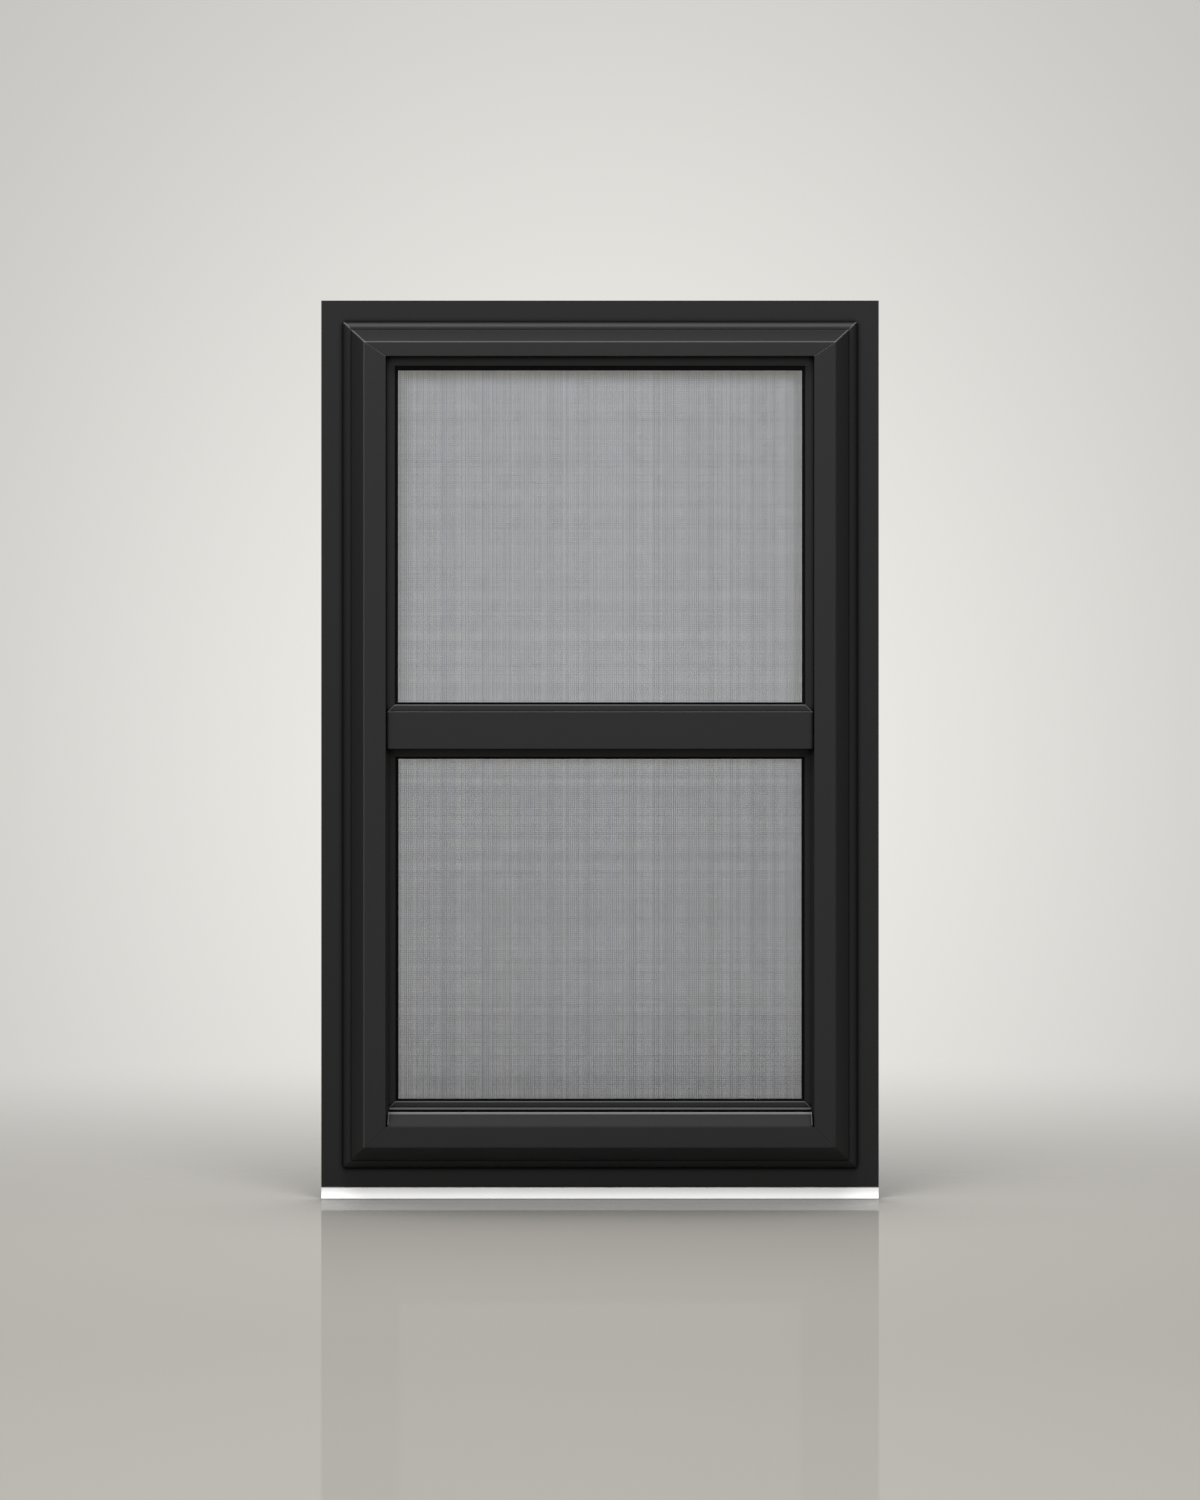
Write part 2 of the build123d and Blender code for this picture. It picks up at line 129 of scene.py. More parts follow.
class NodeMaker:
    """Adds nodes to one tree."""

    def __init__(self, tree):
        self.tree = tree

    def add(self, kind, settings=None, sockets=None, output=0):
        """Adds a node, its settings before its sockets' values or links, and gives one of its outputs."""
        node = self.tree.nodes.new(kind)
        for name, value in (settings or {}).items():
            setattr(node, name, value)
        for key, value in (sockets or {}).items():
            if isinstance(value, Wire):
                self.tree.links.new(value.socket, node.inputs[key])
            else:
                node.inputs[key].default_value = value
        return Wire(self, node, output) if len(node.outputs) else None

    def blend(self, share, first, second):
        """A colour between two colours."""
        return self.add("ShaderNodeMix", {"data_type": "RGBA"}, {0: share, 6: first, 7: second}, 2)

    def remap(self, value, low, high, new_low=0.0, new_high=1.0):
        """A value moved from one range to another with soft ends."""
        settings = {"interpolation_type": "SMOOTHSTEP"}
        sockets = {
            "Value": value,
            "From Min": low,
            "From Max": high,
            "To Min": new_low,
            "To Max": new_high,
        }
        return self.add("ShaderNodeMapRange", settings, sockets)

    def noise(self, place, scale, detail=2.0):
        """Noise between 0 and 1, with a grain of about one over the scale in metres."""
        return self.add("ShaderNodeTexNoise", None, {"Vector": place, "Scale": scale, "Detail": detail})

    def object_place(self):
        """The place on the object, in metres."""
        return self.add("ShaderNodeTexCoord", None, None, "Object")

    def rounded_normal(self, radius):
        """A normal that turns over each edge as if the edge were rounded."""
        return self.add("ShaderNodeBevel", {"samples": 6}, {"Radius": radius})

    def occlusion(self, reach, inside=False):
        """How open the place is: 0 in a tight corner, 1 in the open. Inside the metal, low near an edge."""
        settings = {"samples": 8, "inside": inside, "only_local": inside}
        return self.add("ShaderNodeAmbientOcclusion", settings, {"Distance": reach}, "AO")

    def bump(self, height, depth, normal):
        """A normal pushed about by a height, with the depth in metres."""
        sockets = {"Strength": 1.0, "Distance": depth, "Height": height, "Normal": normal}
        return self.add("ShaderNodeBump", None, sockets)


def tint(colour, share):
    """A colour with each part multiplied, as the four numbers that a colour socket takes."""
    return (colour[0] * share, colour[1] * share, colour[2] * share, 1.0)


def new_material(name):
    """An empty material and the maker of its nodes."""
    material = bpy.data.materials.new(name)
    material.use_nodes = True
    material.node_tree.nodes.clear()
    return material, NodeMaker(material.node_tree)


def coat_nodes(names, material):
    """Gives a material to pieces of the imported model."""
    for name in names:
        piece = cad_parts[name]
        for slot in piece.material_slots:
            slot.material = material


def powder_coat(name, colour, finish, highlight_band=None):
    """Satin powder coat with orange peel and a random cloudy tone, with painted shade near the wall and in
    corners, and painted highlights on upper edges, the bead's crest, the face's arris and a band of given
    heights.
    """
    material, nodes = new_material(name)
    place = nodes.object_place()
    axes = nodes.add("ShaderNodeSeparateXYZ", None, {0: place})
    forward = axes["Y"]
    above_sill = nodes.remap(axes["Z"], 0.0600, 0.0615)
    raised = nodes.remap(forward, -0.0050, -0.0065)
    proud = nodes.remap(forward, -0.010, -0.038)
    flat = nodes.add("ShaderNodeNewGeometry", None, None, "Normal")
    turned = nodes.rounded_normal(finish.edge_softness)
    rounded = nodes.add("ShaderNodeMix", {"data_type": "VECTOR"}, {0: raised, 4: flat, 5: turned}, 1)
    turn = nodes.add("ShaderNodeSeparateXYZ", None, {0: rounded})
    # Painted highlights: a paler coat on upward- and left-facing edges, the bead's crest and the face's
    # arris, as if lit from above and the left.
    upward = turn["Z"] * 0.9 - turn["X"] * 0.1
    sunward = turn["Z"] * 0.9 - turn["X"] * 0.4
    sharp = 1.0 - nodes.occlusion(finish.edge_reach, inside=True)
    crest = nodes.remap(forward, -0.0105, -0.0130) * nodes.remap(forward, -0.0155, -0.0140)
    arris = nodes.remap(forward, -0.0365, -0.0371) * nodes.remap(forward, -0.03798, -0.0378)
    edge = nodes.remap(sharp, 0.05, 0.16) * nodes.remap(upward, 0.05, 0.40) * raised * above_sill
    bead = crest * nodes.remap(upward, 0.25, 0.5)
    rim = arris * nodes.remap(sunward, 0.02, 0.25)
    highlit = edge * finish.painted_edge_highlight + bead * finish.painted_crest_highlight + rim * finish.painted_arris_highlight
    # Painted highlight on a band of given heights.
    if highlight_band:
        low, high = highlight_band
        band = nodes.remap(axes["Z"], low, low + 0.0008) * nodes.remap(axes["Z"], high, high - 0.0008)
        highlit = highlit + band * finish.painted_band_highlight
    cloud = nodes.noise(place, 9.0, 4.0)
    speck = nodes.noise(place, 1500.0, 1.0)
    # Painted shade: the coat darkens in corners and gaps, where shade falls; the roughness also rises
    # there.
    out_of_corner_shade = nodes.remap(nodes.occlusion(finish.corner_shade_reach), 0.50, 0.97)
    # Painted shade: the coat is darker near the wall than on the proud faces, mixed with a random cloudy
    # tone.
    painted_shade_and_cloud = proud + (cloud - 0.5) * 0.3
    coat = nodes.blend(painted_shade_and_cloud, tint(colour, finish.painted_recess_shade), tint(colour, 1.0))
    shade = nodes.blend(out_of_corner_shade, tint(colour, finish.painted_corner_shade), coat)
    # Painted highlight: the masked edges and bands take a paler tone.
    highlighted = nodes.blend(highlit, shade, tint(colour, finish.painted_highlight_tone))
    gloss = finish.roughness + (cloud - 0.5) * 0.10 + (speck - 0.5) * 0.06 + (1.0 - out_of_corner_shade) * 0.35
    peel = nodes.noise(place, 620.0, 2.0)
    normal = nodes.bump(peel, finish.peel_depth, rounded)
    shader = nodes.add(
        "ShaderNodeBsdfPrincipled",
        None,
        {
            "Base Color": highlighted,
            "Roughness": gloss,
            "IOR": 1.5,
            "Specular IOR Level": finish.sheen,
            "Normal": normal,
        },
    )
    nodes.add("ShaderNodeOutputMaterial", None, {"Surface": shader})
    return material


def white_paint(finish):
    """Baked white paint on the sill expander, darker towards its top as a painted shadow of the frame
    above.
    """
    material, nodes = new_material("Expander white paint")
    place = nodes.object_place()
    cloud = nodes.noise(place, 14.0, 3.0)
    peel = nodes.noise(place, 700.0, 2.0)
    height = nodes.add("ShaderNodeSeparateXYZ", None, {0: place})["Z"]
    # Painted shadow: darker towards the top, under the frame.
    painted_frame_shadow = nodes.remap(height + (cloud - 0.5) * 0.002, -0.0225, -0.0105)
    shade = nodes.blend(painted_frame_shadow, tint(finish.expander_colour, 1.0), tint(finish.expander_colour, 0.62))
    normal = nodes.bump(peel, finish.peel_depth, nodes.rounded_normal(finish.edge_softness))
    gloss = 0.38 + (cloud - 0.5) * 0.12
    shader = nodes.add(
        "ShaderNodeBsdfPrincipled", None, {"Base Color": shade, "Roughness": gloss, "Normal": normal}
    )
    nodes.add("ShaderNodeOutputMaterial", None, {"Surface": shader})
    return material


def clear_glass(finish):
    """Float glass: light passes straight through it and its faces mirror a little."""
    material, nodes = new_material("Clear float glass")
    place = nodes.object_place()
    ripple = nodes.noise(place, 3.0, 1.0)
    smear = nodes.noise(place, 22.0, 4.0)
    normal = nodes.add("ShaderNodeBump", None, {"Strength": 1.0, "Distance": 0.00004, "Height": ripple})
    mirror = nodes.add("ShaderNodeFresnel", None, {"IOR": 1.5, "Normal": normal})
    clear = nodes.add("ShaderNodeBsdfTransparent", None, {"Color": tint(finish.glass_tint, 1.0)})
    shine = nodes.add(
        "ShaderNodeBsdfPrincipled",
        None,
        {
            "Base Color": (1.0, 1.0, 1.0, 1.0),
            "Metallic": 1.0,
            "Roughness": 0.01 + smear * 0.03,
            "Normal": normal,
        },
    )
    shader = nodes.add("ShaderNodeMixShader", None, {0: mirror, 1: clear, 2: shine})
    nodes.add("ShaderNodeOutputMaterial", None, {"Surface": shader})
    return material


def soft_rubber(finish):
    """Black glazing rubber, dull and finely pitted."""
    material, nodes = new_material("Glazing rubber")
    place = nodes.object_place()
    cloud = nodes.noise(place, 60.0, 3.0)
    pits = nodes.noise(place, 1800.0, 2.0)
    shade = nodes.blend(cloud, tint(finish.rubber_colour, 0.8), tint(finish.rubber_colour, 1.2))
    normal = nodes.bump(pits, 0.00006, nodes.rounded_normal(0.0003))
    shader = nodes.add(
        "ShaderNodeBsdfPrincipled",
        None,
        {
            "Base Color": shade,
            "Roughness": 0.75 + (cloud - 0.5) * 0.15,
            "Specular IOR Level": 0.05,
            "Normal": normal,
        },
    )
    nodes.add("ShaderNodeOutputMaterial", None, {"Surface": shader})
    return material


def moulded_plastic(finish):
    """Black moulded plastic with a fine spark texture."""
    material, nodes = new_material("Moulded plastic")
    place = nodes.object_place()
    cloud = nodes.noise(place, 80.0, 3.0)
    spark = nodes.noise(place, 2400.0, 2.0)
    shade = nodes.blend(cloud, tint(finish.plastic_colour, 0.85), tint(finish.plastic_colour, 1.2))
    normal = nodes.bump(spark, 0.00005, nodes.rounded_normal(0.0005))
    shader = nodes.add(
        "ShaderNodeBsdfPrincipled",
        None,
        {"Base Color": shade, "Roughness": 0.5 + (cloud - 0.5) * 0.2, "Normal": normal},
    )
    nodes.add("ShaderNodeOutputMaterial", None, {"Surface": shader})
    return material


def coated_yarn(cloth):
    """Grey vinyl coated yarn, each one a little lighter or darker than the next, with painted shade on the
    yarn low on the screen.
    """
    material, nodes = new_material("Coated screen yarn")
    place = nodes.object_place()
    own_tone = nodes.add("ShaderNodeAttribute", {"attribute_name": "yarn_tone"}, None, "Fac")
    slub = nodes.noise(place, 60.0, 3.0)
    share = own_tone * 0.5 + slub * 0.5
    height = nodes.add("ShaderNodeSeparateXYZ", None, {0: place})["Z"]
    # Painted shade: yarn low on the screen takes the darker shaded colour, yarn high up the lit one.
    lit_share = nodes.remap(height, 0.40, 0.56)
    painted_shaded_yarn = nodes.blend(share, tint(cloth.shaded_colour, 0.5), tint(cloth.shaded_colour, 1.8))
    lit_yarn = nodes.blend(share, tint(cloth.yarn_colour, 0.6), tint(cloth.yarn_colour, 1.3))
    shade = nodes.blend(lit_share, painted_shaded_yarn, lit_yarn)
    shader = nodes.add(
        "ShaderNodeBsdfPrincipled",
        None,
        {"Base Color": shade, "Roughness": 0.55 + (slub - 0.5) * 0.2, "Specular IOR Level": 0.3},
    )
    nodes.add("ShaderNodeOutputMaterial", None, {"Surface": shader})
    return material


def yarn_layer(nodes, inputs, count, step, start, length, turn, seed, tone_spread):
    """Straight yarns side by side, as instances of one capped yarn."""
    yarn = nodes.add(
        "GeometryNodeMeshCylinder",
        {"fill_type": "NGON"},
        {
            "Vertices": 5,
            "Side Segments": length / inputs["Segment length"],
            "Fill Segments": 1,
            "Radius": 0.5,
            "Depth": length,
        },
        "Mesh",
    )
    spots = {"Count": count, "Start Location": start, "Offset": step}
    line = nodes.add("GeometryNodeMeshLine", {"mode": "OFFSET"}, spots)
    random_width = nodes.add(
        "FunctionNodeRandomValue",
        {"data_type": "FLOAT"},
        {2: 1.0 - inputs["Width spread"], 3: 1.0 + inputs["Width spread"], "Seed": seed},
        1,
    )
    number = nodes.add("GeometryNodeInputIndex")
    turn_about = nodes.add("ShaderNodeMath", {"operation": "PINGPONG"}, {0: number, 1: 1.0})
    width = inputs["Yarn width"] * random_width * (1.0 + inputs["Rib"] * (turn_about - 0.5))
    size = nodes.add("ShaderNodeCombineXYZ", None, {0: width, 1: inputs["Yarn thickness"], 2: 1.0})
    copies = {"Points": line, "Instance": yarn, "Rotation": turn, "Scale": size}
    laid = nodes.add("GeometryNodeInstanceOnPoints", None, copies)
    tones = {2: 0.5 - tone_spread, 3: 0.5 + tone_spread, "Seed": seed + 7}
    tone = nodes.add("FunctionNodeRandomValue", {"data_type": "FLOAT"}, tones, 1)
    return nodes.add(
        "GeometryNodeStoreNamedAttribute",
        {"data_type": "FLOAT", "domain": "INSTANCE"},
        {"Geometry": laid, "Name": "yarn_tone", "Value": tone},
    )


def cloth_tree():
    """The node tree that lays the upright and the crosswise yarns of the screen cloth."""
    tree = bpy.data.node_groups.new("Screen cloth", "GeometryNodeTree")
    for name, kind in (
        ("Width", "NodeSocketFloat"),
        ("Height", "NodeSocketFloat"),
        ("Upright yarns", "NodeSocketInt"),
        ("Crosswise yarns", "NodeSocketInt"),
        ("Yarn width", "NodeSocketFloat"),
        ("Yarn thickness", "NodeSocketFloat"),
        ("Segment length", "NodeSocketFloat"),
        ("Width spread", "NodeSocketFloat"),
        ("Rib", "NodeSocketFloat"),
        ("Wander", "NodeSocketFloat"),
        ("Seed", "NodeSocketInt"),
        ("Material", "NodeSocketMaterial"),
    ):
        tree.interface.new_socket(name, in_out="INPUT", socket_type=kind)
    tree.interface.new_socket("Cloth", in_out="OUTPUT", socket_type="NodeSocketGeometry")
    nodes = NodeMaker(tree)
    inputs = nodes.add("NodeGroupInput")
    layer = inputs["Yarn thickness"] * 0.47
    across = inputs["Width"] - inputs["Yarn width"] * 2.0
    upward = inputs["Height"] - inputs["Yarn width"] * 2.0
    across_step = across / (inputs["Upright yarns"] - 1.0)
    upward_step = upward / (inputs["Crosswise yarns"] - 1.0)
    upright = yarn_layer(
        nodes,
        inputs,
        inputs["Upright yarns"],
        nodes.add("ShaderNodeCombineXYZ", None, {0: across_step}),
        nodes.add("ShaderNodeCombineXYZ", None, {0: across * -0.5, 1: layer * -1.0}),
        inputs["Height"],
        (0.0, 0.0, 0.0),
        inputs["Seed"] + 1,
        0.7,
    )
    crosswise = yarn_layer(
        nodes,
        inputs,
        inputs["Crosswise yarns"],
        nodes.add("ShaderNodeCombineXYZ", None, {2: upward_step}),
        nodes.add("ShaderNodeCombineXYZ", None, {1: layer, 2: upward * -0.5}),
        inputs["Width"],
        (0.0, pi / 2, 0.0),
        inputs["Seed"] + 2,
        0.4,
    )
    joined = nodes.add("GeometryNodeJoinGeometry", None, {"Geometry": upright})
    nodes.tree.links.new(crosswise.socket, joined.node.inputs["Geometry"])
    solid = nodes.add("GeometryNodeRealizeInstances", None, {"Geometry": joined})
    place = nodes.add("GeometryNodeInputPosition")
    drift = nodes.noise(place, 14.0, 2.0)["Color"]
    about_middle = {0: drift, 1: (0.5, 0.5, 0.5)}
    centred = nodes.add("ShaderNodeVectorMath", {"operation": "SUBTRACT"}, about_middle)
    reach = nodes.add("ShaderNodeCombineXYZ", None, {0: inputs["Wander"], 1: 0.0, 2: inputs["Wander"]})
    offset = nodes.add("ShaderNodeVectorMath", {"operation": "MULTIPLY"}, {0: centred, 1: reach})
    wandering = nodes.add("GeometryNodeSetPosition", None, {"Geometry": solid, "Offset": offset})
    smooth = nodes.add("GeometryNodeSetShadeSmooth", None, {"Geometry": wandering})
    dyed = {"Geometry": smooth, "Material": inputs["Material"]}
    finished = nodes.add("GeometryNodeSetMaterial", None, dyed)
    nodes.add("NodeGroupOutput", None, {"Cloth": finished})
    return tree


def grown_mesh(name, tree, values):
    """The plain mesh that a Geometry Nodes tree makes from its named inputs."""
    seed_mesh = bpy.data.meshes.new(name + "_seed")
    grower = bpy.data.objects.new(name + "_seed", seed_mesh)
    bpy.context.scene.collection.objects.link(grower)
    modifier = grower.modifiers.new("Grow", "NODES")
    modifier.node_group = tree
    for item in tree.interface.items_tree:
        if item.in_out == "INPUT":
            modifier[item.identifier] = values[item.name]
    bpy.context.view_layer.update()
    graph = bpy.context.evaluated_depsgraph_get()
    mesh = bpy.data.meshes.new_from_object(grower.evaluated_get(graph), depsgraph=graph)
    mesh.name = name
    grower.modifiers.remove(modifier)
    bpy.data.objects.remove(grower)
    if not mesh.polygons:
        raise RuntimeError(f"the node tree for {name} made no faces")
    return mesh


class FrameFinish(PropertyGroup):
    """Colours and coats of the metal, glass, rubber and plastic."""

    frame_colour: FloatVectorProperty(
        name="Frame Colour",
        description="Powder coat on the frame",
        subtype="COLOR", default=(0.0125, 0.0125, 0.0128),
    )
    sash_colour: FloatVectorProperty(
        name="Sash Colour",
        description="Powder coat on the sashes",
        subtype="COLOR", default=(0.0125, 0.0125, 0.0128),
    )
    # Painted light: the ledge's coat is lighter than the frame's, for the light on its up-facing slope.
    lit_ledge_colour: FloatVectorProperty(
        name="Ledge Colour",
        description="Weathered coat on the ledge",
        subtype="COLOR", default=(0.0185, 0.0185, 0.0188),
    )
    screen_bar_colour: FloatVectorProperty(
        name="Screen Bar Colour",
        description="Paint on the screen's bars",
        subtype="COLOR", default=(0.018, 0.018, 0.0185),
    )
    expander_colour: FloatVectorProperty(
        name="Expander Colour",
        description="White paint on the sill expander",
        subtype="COLOR", default=(0.93, 0.93, 0.92),
    )
    glass_tint: FloatVectorProperty(
        name="Glass Tint",
        description="Light that one pane face lets through",
        subtype="COLOR", default=(0.985, 0.992, 0.990),
    )
    rubber_colour: FloatVectorProperty(
        name="Rubber Colour",
        description="Gaskets and spline",
        subtype="COLOR", default=(0.0025, 0.0025, 0.0025),
    )
    plastic_colour: FloatVectorProperty(
        name="Plastic Colour",
        description="Latches and pull tabs",
        subtype="COLOR", default=(0.018, 0.018, 0.018),
    )
    roughness: FloatProperty(
        name="Coat Roughness", description="Roughness of the powder coat", default=0.52
    )
    sheen: FloatProperty(
        name="Coat Sheen", description="Strength of the powder coat's mirror light", default=0.25
    )
    # Painted shade: the coat's tone near the wall, darker than on the proud faces.
    painted_recess_shade: FloatProperty(
        name="Recess Shade",
        description="Tone of the coat near the wall, against the proud faces",
        default=0.80,
    )
    # The next six settings paint highlights: their strength on upper edges, on the bead's crest, along the
    # face's arris and on a band of given heights, their tone, and their width along an edge.
    painted_edge_highlight: FloatProperty(
        name="Edge Wear", description="How far the coat thins over the upper edges", default=0.40
    )
    painted_crest_highlight: FloatProperty(
        name="Crest Wear", description="How far it thins over the bead's crest", default=0.16
    )
    painted_arris_highlight: FloatProperty(
        name="Arris Wear", description="How far it thins along the face's edge", default=0.22
    )
    painted_band_highlight: FloatProperty(
        name="Rubbed Wear", description="How far it thins where hands rub it", default=0.45
    )
    painted_highlight_tone: FloatProperty(
        name="Worn Shade", description="Tone of a worn edge, against the coat", default=9.0
    )
    edge_reach: FloatProperty(
        name="Edge Reach",
        description="Width of the thin coat along an edge",
        subtype="DISTANCE", default=0.0012,
    )
    # The next two settings paint shade in corners: its reach and its tone.
    corner_shade_reach: FloatProperty(
        name="Grime Reach",
        description="How near a corner the coat darkens",
        subtype="DISTANCE", default=0.007,
    )
    painted_corner_shade: FloatProperty(
        name="Grime Shade", description="Tone of the coat in corners", default=0.02
    )
    edge_softness: FloatProperty(
        name="Edge Softness",
        description="Radius that the coat gives to edges",
        subtype="DISTANCE", default=0.0010,
    )
    peel_depth: FloatProperty(
        name="Peel Depth", description="Depth of the orange peel", subtype="DISTANCE", default=0.00005
    )


class ScreenCloth(PropertyGroup):
    """Sizes and colour of the woven cloth."""

    yarn_pitch: FloatProperty(
        name="Yarn Pitch", description="From one yarn to the next", subtype="DISTANCE", default=0.00115
    )
    yarn_width: FloatProperty(
        name="Yarn Width",
        description="Width of a yarn in the cloth",
        subtype="DISTANCE", default=0.00072,
    )
    yarn_thickness: FloatProperty(
        name="Yarn Thickness",
        description="Thickness of a yarn through the cloth",
        subtype="DISTANCE", default=0.00040,
    )
    segment_length: FloatProperty(
        name="Segment Length",
        description="Straight lengths that a yarn is drawn in",
        subtype="DISTANCE", default=0.055,
    )
    width_spread: FloatProperty(
        name="Width Spread", description="How much the yarns differ in width", default=0.12
    )
    rib: FloatProperty(name="Rib", description="How much heavier every second yarn is", default=0.3)
    wander: FloatProperty(
        name="Wander",
        description="How far a yarn strays to either side",
        subtype="DISTANCE", default=0.00015,
    )
    seed: IntProperty(name="Seed", description="Start of the random choices", default=4)
    # Painted shade: the darker colour of the yarn low on the screen.
    shaded_colour: FloatVectorProperty(
        name="Shaded Colour",
        description="Yarn low on the screen",
        subtype="COLOR", default=(0.122, 0.130, 0.161),
    )
    yarn_colour: FloatVectorProperty(
        name="Yarn Colour",
        description="Vinyl coat of the yarn",
        subtype="COLOR", default=(0.246, 0.256, 0.292),
    )


class Studio(PropertyGroup):
    """Floor, backdrop, lamps and camera."""

    floor_colour: FloatVectorProperty(
        name="Floor Colour",
        description="Floor in front of the window",
        subtype="COLOR", default=(0.225, 0.216, 0.200),
    )
    backdrop_colour: FloatVectorProperty(
        name="Backdrop Colour",
        description="Pale wall behind",
        subtype="COLOR", default=(0.88, 0.86, 0.82),
    )
    floor_mirror: FloatProperty(
        name="Floor Mirror", description="Share of mirror light in front", default=0.10
    )
    foot_mirror: FloatProperty(
        name="Foot Mirror", description="Share of mirror light at the foot", default=0.26
    )
    foot_reach: FloatProperty(
        name="Foot Reach",
        description="Depth of the darkest shade at the foot",
        subtype="DISTANCE", default=0.06,
    )
    contact_reach: FloatProperty(
        name="Contact Reach",
        description="Depth of the shade at the window's foot",
        subtype="DISTANCE", default=0.27,
    )
    rear_light: FloatProperty(
        name="Rear Light", description="Light from the wall behind the window", default=2.2
    )
    room_light: FloatProperty(
        name="Room Light", description="Light from the ceiling of the room", default=0.2
    )
    left_power: FloatProperty(
        name="Left Power", description="Softbox in front, left", unit="POWER", default=84.0
    )
    right_power: FloatProperty(
        name="Right Power", description="Softbox in front, right", unit="POWER", default=72.0
    )
    top_power: FloatProperty(name="Top Power", description="Softbox above", unit="POWER", default=115.0)
    camera_distance: FloatProperty(
        name="Camera Distance",
        description="From the camera to the flange",
        subtype="DISTANCE", default=3.6,
    )
    camera_height: FloatProperty(
        name="Camera Height", description="Camera above the origin", subtype="DISTANCE", default=0.4675
    )
    view_height: FloatProperty(
        name="View Height",
        description="Height of the picture at the flange",
        subtype="DISTANCE", default=1.6413,
    )


class STORM_OT_coat_metal(Operator):
    """Gives the frame, the sashes, the screen bars and the expander their coats"""

    bl_idname = "storm.coat_metal"
    bl_label = "Coat Metal"

    def execute(self, context):
        finish = context.scene.storm_finish
        coat_nodes(FRAME_MEMBERS, powder_coat("Frame powder coat", finish.frame_colour, finish))
        coat_nodes(SASH_MEMBERS, powder_coat("Sash powder coat", finish.sash_colour, finish))
        # Painted highlights on a band at the ledge's top and on the lift lip above it.
        ledge_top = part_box("sill_ledge")[1].z
        ledge_highlight_band = (ledge_top - 0.0024, ledge_top + 0.001)
        ledge_coat = powder_coat("Ledge powder coat", finish.lit_ledge_colour, finish, ledge_highlight_band)
        coat_nodes(("sill_ledge",), ledge_coat)
        lip_highlight_band = (ledge_top + 0.0022, ledge_top + 0.0050)
        lip_coat = powder_coat("Lift rail powder coat", finish.sash_colour, finish, lip_highlight_band)
        coat_nodes(("lower_bottom_rail",), lip_coat)
        coat_nodes(SCREEN_BARS, powder_coat("Screen bar paint", finish.screen_bar_colour, finish))
        coat_nodes(("sill_expander",), white_paint(finish))
        return {"FINISHED"}


class STORM_OT_glaze_sashes(Operator):
    """Gives the panes, the gaskets, the spline and the plastic fittings their materials"""

    bl_idname = "storm.glaze_sashes"
    bl_label = "Glaze Sashes"

    def execute(self, context):
        finish = context.scene.storm_finish
        coat_nodes(PANES, clear_glass(finish))
        coat_nodes(RUBBER_STRIPS, soft_rubber(finish))
        coat_nodes(FITTINGS, moulded_plastic(finish))
        return {"FINISHED"}


class STORM_OT_weave_screen(Operator):
    """Weaves the insect screen's cloth from upright and crosswise yarns"""

    bl_idname = "storm.weave_screen"
    bl_label = "Weave Screen"

    def execute(self, context):
        cloth = context.scene.storm_cloth
        low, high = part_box("screen_mesh")
        size = high - low
        values = {
            "Width": size.x - cloth.wander,
            "Height": size.z - cloth.wander,
            "Upright yarns": round(size.x / cloth.yarn_pitch),
            "Crosswise yarns": round(size.z / cloth.yarn_pitch),
            "Yarn width": cloth.yarn_width,
            "Yarn thickness": cloth.yarn_thickness,
            "Segment length": cloth.segment_length,
            "Width spread": cloth.width_spread,
            "Rib": cloth.rib,
            "Wander": cloth.wander,
            "Seed": cloth.seed,
            "Material": coated_yarn(cloth),
        }
        mesh = grown_mesh("screen_cloth_woven", cloth_tree(), values)
        mesh.transform(Matrix.Translation((low + high) / 2))
        woven = bpy.data.objects.new("screen_cloth_woven", mesh)
        context.scene.collection.objects.link(woven)
        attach(woven, "root")
        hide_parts("screen_mesh")
        return {"FINISHED"}


